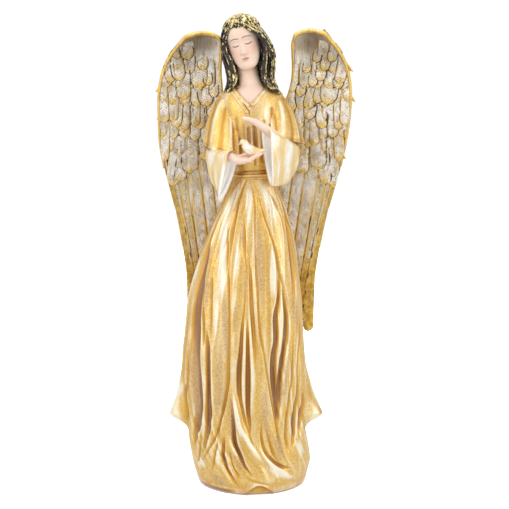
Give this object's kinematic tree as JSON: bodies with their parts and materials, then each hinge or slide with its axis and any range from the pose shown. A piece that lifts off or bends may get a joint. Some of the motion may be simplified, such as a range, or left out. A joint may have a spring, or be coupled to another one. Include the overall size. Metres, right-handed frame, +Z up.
{
  "type": "gilded resin angel figurine",
  "caption": "Standing robed angel figurine in gilded and painted cast resin, with feathered wings, long hair and hands that cradle a dove, resting on a flat underside.",
  "frame": {"origin": "centre of the flat underside of the gown", "axes": "+Z up the figure; -Y the way the figure faces; +X towards the viewer's right, along the wings' span"},
  "size_m": [0.2024, 0.1077, 0.4912],
  "materials": {
    "gilt_resin": "worn gold leaf with brown patina in the folds",
    "silvered_wings": "champagne silver with gilded feather edges",
    "pearl_sleeves": "pale pearl gold with a white lining",
    "painted_skin": "matte flesh tone",
    "painted_hair": "near-black with flecks of gold leaf"
  },
  "bodies": {
    "root": {"angel_figure": "gilt_resin"}
  },
  "joints": []
}
